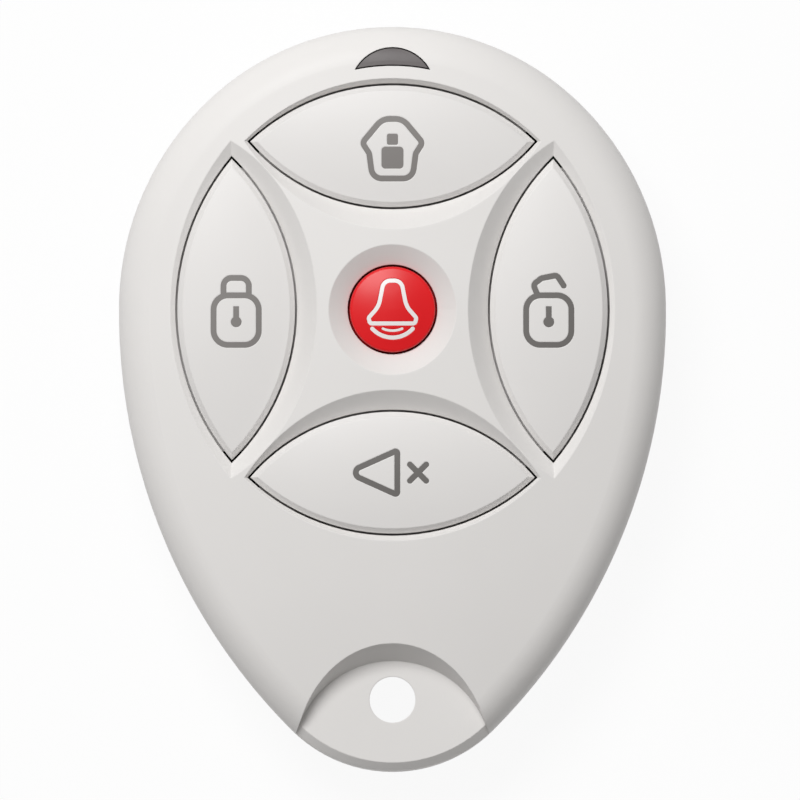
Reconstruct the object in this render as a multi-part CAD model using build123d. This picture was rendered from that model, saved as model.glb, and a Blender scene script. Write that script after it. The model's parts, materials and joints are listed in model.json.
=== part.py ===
from build123d import *
import math
import os

# Alarm key fob: an egg-shaped two-part case with five keys, a lamp window and a keyring eye.
# The fob lies on its back. Z rises out of the face, Y points to the lamp end, X to the right.
# The origin is on the back face, under the middle of the outline. All lengths are in millimetres.

# Egg outline: tangent arcs from the lamp end round to the nose
crown_radius = 21.55
shoulder_radius = 23.0
nose_radius = 11.477
crown_end_angle = 47.7
shoulder_end_angle = 1.0

# Case walls
wall_thickness = 1.6
floor_thickness = 1.5
skin_thickness = 2.9
dome_across_radius = 100.0
dome_along_radius = 210.0
face_edge_radius = 3.0
edge_wall_share = 0.9
back_edge_radius = 2.6
cavity_edge_radius = 1.2
seam_chamfer = 0.18
cut_overrun = 1.0

# Joint lip between the two shells
lip_height = 0.8
lip_thickness = 0.7
lip_clearance = 0.06
lip_end_clearance = 0.1

# Key group: four lens keys round one round key
group_to_lamp_end_length = 22.75
key_margin_width = 4.7
end_key_near_distance = 8.24
end_key_outer_radius = 16.76
end_key_inner_radius = 15.05
side_key_near_distance = 7.85
side_key_outer_radius = 18.97
side_key_inner_radius = 16.98
key_gap = 0.17
key_edge_width = 0.42
key_edge_depth = 0.36
key_crown_across_radius = 32.0
key_crown_along_radius = 85.0
key_tip_height = 0.2
key_skin_thickness = 1.2
key_wall_thickness = 1.0
flange_width = 0.45
flange_thickness = 0.8
flange_clearance = 0.1
flange_end_trim = 0.7
stem_radius = 1.2
stem_length = 0.8

# Bevelled pockets round the lens keys
pocket_depth = 0.35
pocket_outer_width = 0.4
pocket_inner_width = 1.6

# Round panic key and its dish
panic_radius = 3.45
panic_dome_radius = 14.0
panic_below_face_depth = 0.3
panic_edge_radius = 0.25
dish_radius = 5.35
dish_depth = 1.15

# Marks on the keys
inlay_depth = 0.35
mark_line_width = 0.46
house_width = 4.86
house_height = 4.8
house_roof_radius = 1.3
house_eave_radius = 0.42
house_foot_radius = 0.85
house_offset = -0.2
house_right_shares = [(0.17, 0.5), (0.5, 0.1), (0.385, -0.08), (0.33, -0.5)]
head_size = 0.88
torso_size = 1.76
head_corner_share = 0.17
head_height = 0.76
figure_gap = 0.16
lock_width = 4.1
lock_height = 4.45
lock_corner_radius = 1.15
lock_middle_offset = -0.86
shackle_width = 2.5
shackle_height = 1.4
shackle_corner_radius = 0.65
open_shackle_shares = [(-0.36, 0), (-0.5, 0.62), (-0.24, 0.98), (0.26, 1.16), (0.48, 0.56)]
open_shackle_corner = 0.35
keyhole_radius = 0.43
keyhole_length = 1.25
keyhole_offset = -0.14
horn_length = 4.22
horn_height = 4.05
horn_right_offset = 0.62
horn_tip_radius = 0.45
horn_corner_radius = 0.15
cross_offset = 2.06
cross_span = 1.85
bell_width = 3.7
bell_height = 3.45
bell_middle_height = 0.6
bell_top_radius = 0.66
bell_side_radius = 1.8
bell_lip_radius = 0.22
bell_line_width = 0.33
bell_right_shares = [(0.19, 0.5), (0.3, -0.1), (0.52, -0.37), (0.49, -0.5)]
bell_arc_gap = 0.42
wide_arc_share = 0.44
wide_arc_depth = 0.72
small_arc_share = 0.21
small_arc_depth = 0.16
fine_line_width = 0.2

# Lamp window
window_to_end_length = 1.71
window_height = 1.33
window_upper_radius = 3.35
window_lower_radius = 14.7
window_gap = 0.09
window_flange = 0.5
window_flange_thickness = 0.6
guide_width = 2.4
guide_depth = 1.1
guide_clearance = 0.25

# Keyring eye and its scoops
eye_radius = 1.85
eye_to_nose_length = 5.82
eye_wall_thickness = 1.3
scoop_rim_radius = 7.36
scoop_rim_offset = 2.82
scoop_floor_radius = 8.05
scoop_floor_offset = 4.92
scoop_floor_height_above_seam = 2.9
scoop_edge_width = 0.75
scoop_edge_depth = 0.9
back_scoop_depth = 1.4

# Circuit board
board_thickness = 1.0
board_gap = 0.35
board_end_gap_length = 2.0
board_hole_gap = 0.25
shelf_width = 1.0
post_radius = 0.8
post_ring_radius = 10.9

# Screws that hold the case together
screw_radius = 0.8
screw_length = 6.0
screw_head_radius = 1.5
screw_head_height = 1.0
screw_head_depth = 2.5
screw_tip_length = 0.8
screw_tip_share = 0.25
screw_gap = 0.1
cross_width = 0.4
cross_length = 1.9
cross_depth = 0.6
boss_radius = 1.8
pillar_radius = 2.3
side_screw_offset = 13.2
side_screw_below_group_length = 17.75
nose_screw_to_eye_length = 8.0

# Coin cell and its contacts
cell_radius = 10.0
cell_height = 3.2
cell_step_height = 0.3
cell_rim_width = 1.1
cell_edge_radius = 0.3
cell_below_group_length = 4.0
clip_under_gap = 0.3
clip_thickness = 0.2
clip_width = 5.0
clip_side_gap = 0.3
clip_foot_length = 1.6
clip_bend_radius = 0.35
contact_thickness = 0.2
contact_radius = 3.5
contact_tab_length = 4.0
contact_tab_width = 2.0

# Key switches
switch_side = 4.5
switch_base_height = 1.6
switch_cover_thickness = 0.25
switch_cover_flap_height = 0.9
switch_flap_width = 2.4
switch_bore_gap = 0.08
switch_leg_length = 0.9
switch_leg_width = 0.6
switch_leg_thickness = 0.2
switch_leg_spacing = 3.0
plunger_radius = 1.1
plunger_collar_radius = 1.55
plunger_collar_height = 0.35
plunger_stand_height = 0.65
plunger_end_clearance = 0.03
well_radius = 1.75
dome_thickness = 0.08
dome_radius = 1.6
dome_height = 0.42

# Parts on the board
lamp_length = 2.0
lamp_width = 1.25
lamp_base_height = 0.4
lamp_lens_height = 0.35
controller_length = 8.6
controller_width = 3.9
controller_height = 1.4
controller_leads_per_side = 7
radio_length = 4.9
radio_width = 3.9
radio_height = 1.4
radio_leads_per_side = 4
lead_pitch = 1.27
lead_width = 0.42
lead_thickness = 0.2
lead_reach_length = 1.05
lead_bend_radius = 0.15
resonator_length = 5.0
resonator_width = 3.2
resonator_base_height = 0.5
resonator_lid_height = 0.6
resonator_lid_inset = 0.25
chip_part_length = 2.0
chip_part_width = 1.25
capacitor_height = 0.8
resistor_height = 0.5
chip_part_spacing = 2.2
chip_parts_per_row = 3
part_gap = 0.9
chip_gap = 0.45
antenna_wire_radius = 0.4
antenna_height = 1.7
antenna_half_length = 9.4
antenna_bend_radius = 1.0
antenna_to_board_end_length = 1.6
antenna_to_switch_length = 2.635


# Heights, stacked from the back face upwards
clip_bottom = floor_thickness + clip_under_gap
cell_bottom = clip_bottom + clip_thickness
cell_top = cell_bottom + cell_height
board_bottom = cell_top + contact_thickness
board_top = board_bottom + board_thickness
seam_height = board_top
cover_bottom = board_top + switch_base_height
cover_top = cover_bottom + switch_cover_thickness
plunger_top = cover_top + plunger_stand_height
flange_bottom = plunger_top + stem_length
flange_top = flange_bottom + flange_thickness
ceiling_height = flange_top + flange_clearance
face_height = ceiling_height + skin_thickness
scoop_floor_height = seam_height + scoop_floor_height_above_seam
panic_apex = face_height - panic_below_face_depth
collar_bottom = cover_bottom - plunger_end_clearance - plunger_collar_height
well_floor = collar_bottom - dome_height


def direction(angle):
    """Unit vector in the plan at an angle from X, in degrees."""
    return Vector(math.cos(math.radians(angle)), math.sin(math.radians(angle)))


# Places from the lamp end down to the nose end, which together make the length
end_key_reach = group_to_lamp_end_length - key_margin_width
group_to_antenna_length = (end_key_near_distance + end_key_reach + switch_side) / 2 + antenna_to_switch_length
board_end_to_eye_length = board_end_gap_length + boss_radius + nose_screw_to_eye_length
body_length = (group_to_lamp_end_length + group_to_antenna_length + antenna_to_board_end_length
               + board_end_to_eye_length + eye_to_nose_length)
lamp_end = body_length / 2
nose_end = -lamp_end
group_y = lamp_end - group_to_lamp_end_length
antenna_y = group_y - group_to_antenna_length
board_low_end = antenna_y - antenna_to_board_end_length
lip_low_end = board_low_end - board_end_gap_length
nose_screw_y = lip_low_end - boss_radius
eye_y = nose_screw_y - nose_screw_to_eye_length


def egg_arcs():
    """Centres of the outline's right-hand arcs, and its flank's radius and end, the crown's centre at zero."""
    crown_centre = Vector(0, 0)
    shoulder_centre = crown_centre + direction(crown_end_angle) * (crown_radius - shoulder_radius)
    nose_centre = Vector(0, crown_radius + nose_radius - body_length)
    outwards = direction(shoulder_end_angle)
    between = shoulder_centre - nose_centre
    narrowing = shoulder_radius - nose_radius
    excess = (between.dot(between) - narrowing ** 2) / (2 * (between.dot(outwards) + narrowing))
    flank_centre = shoulder_centre - outwards * excess
    towards_nose = nose_centre - flank_centre
    end_angle = math.degrees(math.atan2(towards_nose.Y, towards_nose.X))
    return crown_centre, shoulder_centre, flank_centre, nose_centre, shoulder_radius + excess, end_angle


crown_centre, shoulder_centre, flank_centre, nose_centre, flank_radius, flank_end_angle = egg_arcs()
outline_shift = lamp_end - crown_radius
half_width = flank_centre.X + flank_radius

side_key_reach = half_width - key_margin_width
scoop_rim_y = eye_y - scoop_rim_offset
scoop_floor_y = eye_y - scoop_floor_offset
cell_y = group_y - cell_below_group_length
side_screw_y = group_y - side_screw_below_group_length
window_low_y = lamp_end - window_to_end_length - window_height
lamp_y = window_low_y
post_reach = post_ring_radius * direction(45).X
post_places = [(x, group_y + y) for x in (-post_reach, post_reach) for y in (-post_reach, post_reach)]
screw_places = [(side_screw_offset, side_screw_y), (-side_screw_offset, side_screw_y), (0, nose_screw_y)]

# Each lens key: name, turn about the group's middle, near edge, far edge, and its two arcs
end_key = (end_key_near_distance, end_key_reach, end_key_outer_radius, end_key_inner_radius)
side_key = (side_key_near_distance, side_key_reach, side_key_outer_radius, side_key_inner_radius)
lens_keys = {"home": (0, end_key), "lock": (90, side_key), "mute": (180, end_key), "unlock": (270, side_key)}
key_places = {name: Vector(0, (key[0] + key[1]) / 2).rotate(Axis.Z, turn) + Vector(0, group_y)
              for name, (turn, key) in lens_keys.items()}
key_places["panic"] = Vector(0, group_y)

# Parts on the board beside the lower key's switch
beside_switch = switch_side / 2 + switch_leg_length + part_gap
controller_x = -(beside_switch + controller_length / 2)
radio_x = beside_switch + radio_length / 2
resonator_x = radio_x + radio_length / 2 + part_gap + resonator_width / 2
chip_y = group_y - post_reach - post_radius - chip_gap - controller_width / 2 - lead_reach_length


def egg(inset):
    """The outline as a face, drawn in by an inset that keeps its arcs tangent."""
    up = Vector(0, outline_shift)

    def arc(centre, radius, start, end):
        return CenterArc(centre + up, radius - inset, start, end - start)

    def mirrored(centre):
        return Vector(-centre.X, centre.Y)

    return make_face([
        arc(flank_centre, flank_radius, flank_end_angle, shoulder_end_angle),
        arc(shoulder_centre, shoulder_radius, shoulder_end_angle, crown_end_angle),
        arc(crown_centre, crown_radius, crown_end_angle, 180 - crown_end_angle),
        arc(mirrored(shoulder_centre), shoulder_radius, 180 - crown_end_angle, 180 - shoulder_end_angle),
        arc(mirrored(flank_centre), flank_radius, 180 - shoulder_end_angle, 180 - flank_end_angle),
        arc(nose_centre, nose_radius, 180 - flank_end_angle, 360 + flank_end_angle),
    ])


def slab(face, bottom, top):
    """A flat face raised into a solid between two heights."""
    return extrude(Pos(0, 0, bottom) * face, top - bottom)


def disc(x, y, radius, bottom, top):
    """An upright cylinder between two heights."""
    return Pos(x, y, bottom) * Cylinder(radius, top - bottom, align=(Align.CENTER, Align.CENTER, Align.MIN))


def block(x, y, length, width, bottom, top):
    """An upright block centred on a place in the plan, between two heights."""
    stand = (Align.CENTER, Align.CENTER, Align.MIN)
    return Pos(x, y, bottom) * Box(length, width, top - bottom, align=stand)


def half_plane(low_y, bottom, top):
    """Everything on the lamp side of a line across the fob, between two heights."""
    width = 2 * (half_width + cut_overrun)
    depth = lamp_end + cut_overrun - low_y
    return block(0, low_y + depth / 2, width, depth, bottom, top)


def sag(distance, radius):
    """How far an arc has dropped at a distance from its highest point."""
    return radius - math.sqrt(radius ** 2 - distance ** 2)


def crowned_block(half_across, half_along, depth, across_radius, along_radius):
    """A block whose top is crowned both ways, across on X and along on Y, highest at the origin."""
    edge = -sag(half_across, across_radius)
    low = edge - depth
    profile = make_face([
        Line((-half_across, low), (half_across, low)),
        Line((half_across, low), (half_across, edge)),
        ThreePointArc((half_across, edge), (0, 0), (-half_across, edge)),
        Line((-half_across, edge), (-half_across, low)),
    ])
    bend_axis = Axis((0, 0, -along_radius), (1, 0, 0))
    half_turn = math.degrees(math.asin(half_along / along_radius))
    return revolve(Plane.XZ * profile, bend_axis, 2 * half_turn).rotate(bend_axis, -half_turn)


def land_height(x, y):
    """Height of the domed face at a place measured from the middle of the key group."""
    inner_radius = dome_along_radius - sag(x, dome_across_radius)
    return face_height - dome_along_radius + math.sqrt(inner_radius ** 2 - y ** 2)


def top_edges(part, height):
    """Edges that lie wholly at one height."""
    return part.edges().filter_by_position(Axis.Z, height, height)


def front_body():
    """The front half as a solid lump: straight sides, domed face and rolled edge."""
    lump = slab(egg(0), seam_height, face_height + cut_overrun)
    lump = chamfer(top_edges(lump, seam_height), seam_chamfer)
    reach_along = body_length - group_to_lamp_end_length + cut_overrun
    depth = face_height - seam_height + cut_overrun
    dome = crowned_block(half_width + cut_overrun, reach_along, depth, dome_across_radius, dome_along_radius)
    lump = lump & Pos(0, group_y, face_height) * dome
    rim = lump.faces().sort_by(Axis.Z)[-1].edges()
    nose_wall = land_height(0, nose_end - group_y) - seam_height - seam_chamfer
    return fillet(rim, min(face_edge_radius, nose_wall * edge_wall_share))


def lens_tip(outer_centre, outer_radius, inner_centre, inner_radius):
    """Right-hand tip of a lens between two arcs whose centres are on the Y axis."""
    spacing = inner_centre - outer_centre
    along = (outer_radius ** 2 - inner_radius ** 2 + spacing ** 2) / (2 * spacing)
    return Vector(math.sqrt(outer_radius ** 2 - along ** 2), outer_centre + along)


def lens_size(key, grow):
    """Near and far edge of a lens key and its tip, all grown outwards by the same amount."""
    near, reach, outer_radius, inner_radius = key
    tip = lens_tip(reach - outer_radius, outer_radius + grow, near + inner_radius, inner_radius + grow)
    return near - grow, reach + grow, tip


def lens(near, far, tip):
    """A lens-shaped face between two arcs that meet at its tips."""
    left_tip = Vector(-tip.X, tip.Y)
    return make_face([ThreePointArc(tip, (0, far), left_tip), ThreePointArc(left_tip, (0, near), tip)])


def near_key(turn, out, side):
    """Height of the face near a key: so far out from the group's middle, so far to its side."""
    place = Vector(side, out).rotate(Axis.Z, turn)
    return land_height(place.X, place.Y)


def pocket_floor(turn, key):
    """Height at which a key's pocket meets its opening."""
    near, far, tip = lens_size(key, 0)
    return min(near_key(turn, far, 0), near_key(turn, tip.Y, tip.X)) - pocket_depth


def pocket(turn, key):
    """Cutter for one key: a bevelled pocket in the face over an opening through the skin."""
    floor = pocket_floor(turn, key)
    top = face_height + pocket_depth
    near, far, tip = lens_size(key, key_gap)
    outer_land = near_key(turn, far + pocket_outer_width, 0)
    inner_land = near_key(turn, near - pocket_inner_width, 0)
    outer_run = pocket_outer_width * (top - floor) / (outer_land - floor)
    inner_run = pocket_inner_width * (top - floor) / (inner_land - floor)
    wide_far, wide_tip = lens_size(key, key_gap + outer_run)[1:]
    opening = lens(near, far, tip)
    bevel = loft([Pos(0, 0, floor) * opening,
                  Pos(0, 0, top) * lens(near - inner_run, wide_far, wide_tip)], ruled=True)
    return bevel + slab(opening, ceiling_height - cut_overrun, floor)


def in_group(part, turn):
    """Turn a key's piece about the middle of the group and move it there."""
    return Pos(0, group_y, 0) * Rot(0, 0, turn) * part


def panic_dish():
    """Cutter for the round key: a conical dish over a round opening."""
    floor = face_height - dish_depth
    bore_radius = panic_radius + key_gap
    slope = (dish_radius - bore_radius) / dish_depth
    rise = dish_depth + pocket_depth
    cone = Pos(0, 0, floor) * Cone(bore_radius, bore_radius + slope * rise, rise,
                                   align=(Align.CENTER, Align.CENTER, Align.MIN))
    return in_group(cone + disc(0, 0, bore_radius, ceiling_height - cut_overrun, floor), 0)


def window_tip(grow):
    """Right-hand tip of the lamp window's crescent, grown outwards by a little."""
    upper_centre = lamp_end - window_to_end_length - window_upper_radius
    lower_centre = window_low_y - window_lower_radius
    return lens_tip(upper_centre, window_upper_radius + grow, lower_centre, window_lower_radius - grow)


def window_face(grow):
    """The crescent of the lamp window, grown outwards by a little."""
    tip = window_tip(grow)
    left_tip = Vector(-tip.X, tip.Y)
    high = lamp_end - window_to_end_length + grow
    return make_face([ThreePointArc(tip, (0, high), left_tip),
                      ThreePointArc(left_tip, (0, window_low_y - grow), tip)])


def scoop(rim_height, floor_height):
    """Cutter for a thumbnail scoop round the eye: a slanting wall from its rim to its floor."""
    rim = Pos(0, scoop_rim_y, rim_height) * Circle(scoop_rim_radius)
    floor = Pos(0, scoop_floor_y, floor_height) * Circle(scoop_floor_radius)
    return loft([rim, floor], ruled=True)


def face_scoop():
    """Cutter for the scoop in the face, whose rim is as high as the face is at its upper end."""
    rim_height = land_height(0, scoop_rim_y + scoop_rim_radius - group_y)
    above = disc(0, scoop_rim_y, scoop_rim_radius, rim_height, face_height)
    return scoop(rim_height, scoop_floor_height) + above


def scoop_edge():
    """Cutter that bevels the outer edge of the scoop's floor along the nose."""
    plate = slab(egg(0), seam_height, scoop_floor_height)
    top = plate.faces().sort_by(Axis.Z)[-1]
    plate = chamfer(top.edges(), scoop_edge_width, scoop_edge_depth, reference=top)
    reach = disc(0, scoop_floor_y, scoop_floor_radius, scoop_floor_height - scoop_edge_depth,
                 scoop_floor_height + cut_overrun)
    return reach - plate


def front_shell(lump):
    """Front half of the case, with its openings, screw bosses and board posts."""
    cavity = slab(egg(wall_thickness), seam_height - cut_overrun, ceiling_height)
    cavity = fillet(top_edges(cavity, ceiling_height), cavity_edge_radius)
    cavity -= disc(0, scoop_rim_y, scoop_rim_radius + wall_thickness, 0, face_height)
    shell = lump - cavity
    rebate = slab(egg(wall_thickness - lip_thickness - lip_clearance), seam_height - cut_overrun,
                  seam_height + lip_height + lip_end_clearance)
    shell -= rebate & half_plane(lip_low_end, 0, face_height)
    for x, y in screw_places:
        shell += disc(x, y, boss_radius, board_bottom, ceiling_height)
        shell -= disc(x, y, screw_radius, board_bottom - cut_overrun, screw_head_depth + screw_length)
    for x, y in post_places:
        shell += disc(x, y, post_radius, board_top, ceiling_height)
    pockets = [in_group(pocket(turn, key), turn) for turn, key in lens_keys.values()]
    window_slot = slab(window_face(window_gap), ceiling_height - cut_overrun, face_height)
    eye = disc(0, eye_y, eye_radius, 0, face_height)
    return shell - [*pockets, panic_dish(), window_slot, face_scoop(), scoop_edge(), eye]


def rear_shell():
    """Back half of the case, with the board shelf, screw pillars, eye tube and joint lip."""
    shell = slab(egg(0), 0, seam_height)
    shell = chamfer(top_edges(shell, seam_height), seam_chamfer)
    shell = fillet(top_edges(shell, 0), back_edge_radius)
    keep = disc(0, eye_y, eye_radius + eye_wall_thickness, 0, seam_height)
    keep += disc(0, scoop_rim_y, scoop_rim_radius + wall_thickness, 0, back_scoop_depth + floor_thickness)
    for x, y in screw_places:
        keep += disc(x, y, pillar_radius, 0, board_bottom - screw_gap)
    shell -= slab(egg(wall_thickness + shelf_width), floor_thickness, board_bottom) - keep
    shell -= slab(egg(wall_thickness), board_bottom, seam_height + cut_overrun) - keep
    lip = slab(egg(wall_thickness - lip_thickness), seam_height, seam_height + lip_height)
    lip -= slab(egg(wall_thickness), seam_height - cut_overrun, seam_height + lip_height + cut_overrun)
    shell += lip & half_plane(lip_low_end, 0, face_height)
    for x, y in screw_places:
        shell -= disc(x, y, screw_head_radius + screw_gap, -cut_overrun, screw_head_depth)
        shell -= disc(x, y, screw_radius + screw_gap, 0, seam_height)
    shell -= scoop(0, back_scoop_depth)
    return shell - disc(0, eye_y, eye_radius, -cut_overrun, seam_height + cut_overrun)


def key_apex(turn, key):
    """Highest point of a lens key, set so that its tips stand just above the pocket."""
    tip = lens_size(key, 0)[2]
    return pocket_floor(turn, key) + key_tip_height + sag(tip.X, key_crown_along_radius)


def key_middle(key):
    """Distance of a lens key's middle from the middle of the group."""
    near, far, tip = lens_size(key, 0)
    return (near + far) / 2


def lens_cap(turn, key):
    """A lens key before its mark is let in: crowned top, flange, hollow underside and stem."""
    near, far, tip = lens_size(key, 0)
    middle = key_middle(key)
    apex = key_apex(turn, key)
    cap = slab(lens(near, far, tip), flange_bottom, apex + cut_overrun)
    crown = crowned_block(far - near, tip.X + cut_overrun, apex - flange_bottom + cut_overrun,
                          key_crown_across_radius, key_crown_along_radius)
    cap = cap & Pos(0, middle, apex) * Rot(0, 0, 90) * crown
    crown_face = cap.faces().sort_by(Axis.Z)[-1]
    cap = chamfer(crown_face.edges(), key_edge_width, key_edge_depth, reference=crown_face)
    flange = slab(lens(*lens_size(key, flange_width)), flange_bottom, flange_top)
    flange = flange & block(0, middle, 2 * (tip.X - flange_end_trim), 2 * far, 0, face_height)
    hollow_top = apex - key_skin_thickness
    hollow = slab(lens(*lens_size(key, -key_wall_thickness)), flange_bottom - cut_overrun, hollow_top)
    stem = disc(0, middle, stem_radius, plunger_top, hollow_top)
    return in_group((cap + flange) - hollow + stem, turn)


def panic_cap():
    """The round key before its mark is let in: domed top, flange, hollow underside and stem."""
    ball = Pos(0, 0, panic_apex - panic_dome_radius) * Sphere(panic_dome_radius)
    cap = disc(0, 0, panic_radius, flange_bottom, face_height + cut_overrun) & ball
    cap = fillet(cap.faces().sort_by(Axis.Z)[-1].edges(), panic_edge_radius)
    cap += disc(0, 0, panic_radius + flange_width, flange_bottom, flange_top)
    hollow_top = panic_apex - key_skin_thickness
    cap -= disc(0, 0, panic_radius - key_wall_thickness, flange_bottom - cut_overrun, hollow_top)
    return in_group(cap + disc(0, 0, stem_radius, plunger_top, hollow_top), 0)


def outline_plate(right_shares, width, height, corner_radii):
    """A face that is the same left and right, from its right-hand points as shares of its size."""
    right = [(x_share * width, y_share * height) for x_share, y_share in right_shares]
    left = [(-x, y) for x, y in reversed(right)]
    plate = make_face(Polyline(*right, *left, close=True))
    for (x, y), radius in zip(right, corner_radii):
        pair = [plate.vertices().sort_by_distance((side * x, y))[0] for side in (-1, 1)]
        plate = fillet(pair, radius)
    return plate


def drawn_round(plate, stroke):
    """A line of even width along the edge of a face."""
    return offset(plate, stroke / 2) - offset(plate, -stroke / 2)


def pen_line(path, stroke):
    """A line of even width with round ends, along an open path."""
    ends = [Pos(place.X, place.Y) * Circle(stroke / 2) for place in (path @ 0, path @ 1)]
    return Sketch() + trace(path, stroke) + ends


def home_mark():
    """A little house with a figure in its doorway."""
    radii = (house_roof_radius, house_eave_radius, house_eave_radius, house_foot_radius)
    walls = outline_plate(house_right_shares, house_width, house_height, radii)
    head = RectangleRounded(head_size, head_size, head_size * head_corner_share)
    torso = RectangleRounded(torso_size, torso_size, torso_size * head_corner_share)
    torso_height = head_height - head_size / 2 - figure_gap - torso_size / 2
    figure = Pos(0, head_height) * head + Pos(0, torso_height) * torso
    return Pos(0, house_offset) * (drawn_round(walls, mark_line_width) + figure)


def lock_body():
    """The rounded body of a padlock with its keyhole."""
    plate = RectangleRounded(lock_width - mark_line_width, lock_height - mark_line_width, lock_corner_radius)
    stem = Pos(0, keyhole_length / 2) * Rectangle(mark_line_width, keyhole_length)
    return drawn_round(plate, mark_line_width) + Pos(0, keyhole_offset) * (stem + Circle(keyhole_radius))


def lock_mark():
    """A closed padlock."""
    loop_width = shackle_width - mark_line_width
    high = lock_height / 2 - mark_line_width / 2
    legs = Polyline((-loop_width / 2, high), (-loop_width / 2, high + shackle_height),
                    (loop_width / 2, high + shackle_height), (loop_width / 2, high))
    shackle = fillet(legs.vertices().sort_by(Axis.Y)[-2:], shackle_corner_radius)
    return Pos(0, lock_middle_offset) * (lock_body() + trace(shackle, mark_line_width))


def unlock_mark():
    """An open padlock: its shackle is swung up and leaves the body on the right."""
    high = lock_height / 2 - mark_line_width / 2
    points = [(x_share * shackle_width, high + y_share * shackle_height)
              for x_share, y_share in open_shackle_shares]
    shackle = FilletPolyline(*points, radius=open_shackle_corner)
    return Pos(0, lock_middle_offset) * (lock_body() + pen_line(shackle, mark_line_width))


def mute_mark():
    """A horn with a cross beside it."""
    mouth = horn_right_offset - mark_line_width / 2
    point = horn_right_offset - horn_length
    half_mouth = horn_height / 2 - mark_line_width / 2
    plate = make_face(Polyline((point, 0), (mouth, half_mouth), (mouth, -half_mouth), close=True))
    tip = plate.vertices().sort_by(Axis.X)[:1]
    plate = fillet(tip, horn_tip_radius)
    plate = fillet(plate.vertices().sort_by(Axis.X)[-2:], horn_corner_radius)
    bar = SlotCenterToCenter(cross_span, mark_line_width)
    cross = Rot(0, 0, 45) * bar + Rot(0, 0, -45) * bar
    return drawn_round(plate, mark_line_width) + Pos(cross_offset, 0) * cross


def smile(half_width_of_arc, high, drop, stroke):
    """A thin arc that hangs between two ends."""
    ends = Vector(half_width_of_arc, high)
    return pen_line(ThreePointArc((-ends.X, ends.Y), (0, high - drop), (ends.X, ends.Y)), stroke)


def panic_mark():
    """A bell with two arcs under it."""
    radii = (bell_top_radius, bell_side_radius, bell_lip_radius, bell_lip_radius)
    bell = outline_plate(bell_right_shares, bell_width, bell_height, radii)
    below = -bell_height / 2 - bell_arc_gap
    wide = smile(bell_width * wide_arc_share, below, wide_arc_depth, bell_line_width)
    small = smile(bell_width * small_arc_share, below, small_arc_depth, fine_line_width)
    return Pos(0, bell_middle_height) * (drawn_round(bell, bell_line_width) + wide + small)


def let_in(cap, mark, middle, apex):
    """Split a key into its cap and the inlay that its mark fills, flush with the top."""
    prism = slab(Pos(middle.X, middle.Y) * mark, apex - inlay_depth, apex + cut_overrun)
    return cap - prism, cap & prism


def keys():
    """All five key caps with their inlays."""
    marks = {"home": home_mark(), "lock": lock_mark(), "mute": mute_mark(), "unlock": unlock_mark()}
    made = {}
    for name, (turn, key) in lens_keys.items():
        pair = let_in(lens_cap(turn, key), marks[name], key_places[name], key_apex(turn, key))
        made[f"button_{name}"], made[f"symbol_{name}"] = pair
    pair = let_in(panic_cap(), panic_mark(), key_places["panic"], panic_apex)
    made["button_panic"], made["symbol_panic"] = pair
    return made


def lamp_window(lump):
    """Smoked light guide: crescent flush with the face, a ledge under the skin and a stalk."""
    low_skin = ceiling_height - window_flange_thickness
    window = slab(window_face(0), low_skin, face_height) & lump
    ledge_length = 2 * (window_tip(0).X + window_flange)
    ledge_y = window_low_y - window_flange / 2
    window += block(0, ledge_y, ledge_length, window_flange, low_skin, ceiling_height)
    stalk_bottom = board_top + lamp_base_height + lamp_lens_height + guide_clearance
    return window + block(0, lamp_y, guide_width, guide_depth, stalk_bottom, low_skin)


def housing_screws():
    """The self-tapping screws: round head with a cross recess, shank and pointed tip."""
    head_bottom = screw_head_depth - screw_head_height
    tip_bottom = screw_head_depth + screw_length - screw_tip_length
    screw = disc(0, 0, screw_head_radius, head_bottom, screw_head_depth)
    screw += disc(0, 0, screw_radius, screw_head_depth, tip_bottom)
    screw += Pos(0, 0, tip_bottom) * Cone(screw_radius, screw_radius * screw_tip_share, screw_tip_length,
                                          align=(Align.CENTER, Align.CENTER, Align.MIN))
    for length, width in ((cross_length, cross_width), (cross_width, cross_length)):
        screw -= block(0, 0, length, width, head_bottom - cut_overrun, head_bottom + cross_depth)
    return [Pos(x, y, 0) * screw for x, y in screw_places]


def circuit_board():
    """The board: the outline drawn in, cut off above the nose screw, with holes for the bosses."""
    board = slab(egg(wall_thickness + board_gap), board_bottom, board_top)
    board = board & half_plane(board_low_end, 0, face_height)
    for x, y in screw_places:
        board -= disc(x, y, boss_radius + board_hole_gap, 0, face_height)
    return board


def battery_cell():
    """Coin cell with its can below and its smaller cap above."""
    can = disc(0, cell_y, cell_radius, cell_bottom, cell_top - cell_step_height)
    can = fillet(can.edges(), cell_edge_radius)
    return can + disc(0, cell_y, cell_radius - cell_rim_width, cell_top - cell_step_height, cell_top)


def strip(points, bend_radius, width, thickness):
    """A bent metal strip along a path in the plane of X and Z."""
    path = FilletPolyline(*points, radius=bend_radius)
    section = Plane(origin=path @ 0, x_dir=(0, 1, 0), z_dir=path % 0) * Rectangle(width, thickness)
    return sweep(section, path)


def battery_clip():
    """Positive contact: a strip under the cell whose ends rise to the board and turn out."""
    side = cell_radius + clip_side_gap + clip_thickness / 2
    high = board_bottom - clip_thickness / 2
    low = clip_bottom + clip_thickness / 2
    points = [(-side - clip_foot_length, 0, high), (-side, 0, high), (-side, 0, low),
              (side, 0, low), (side, 0, high), (side + clip_foot_length, 0, high)]
    return Pos(0, cell_y, 0) * strip(points, clip_bend_radius, clip_width, clip_thickness)


def battery_contact():
    """Negative contact: a round plate between the cell and the board, with a soldering tab."""
    plate = disc(0, cell_y, contact_radius, cell_top, board_bottom)
    tab_y = cell_y + contact_radius + contact_tab_length / 2 - contact_tab_width / 2
    return plate + block(0, tab_y, contact_tab_width, contact_tab_length, cell_top, board_bottom)


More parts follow.
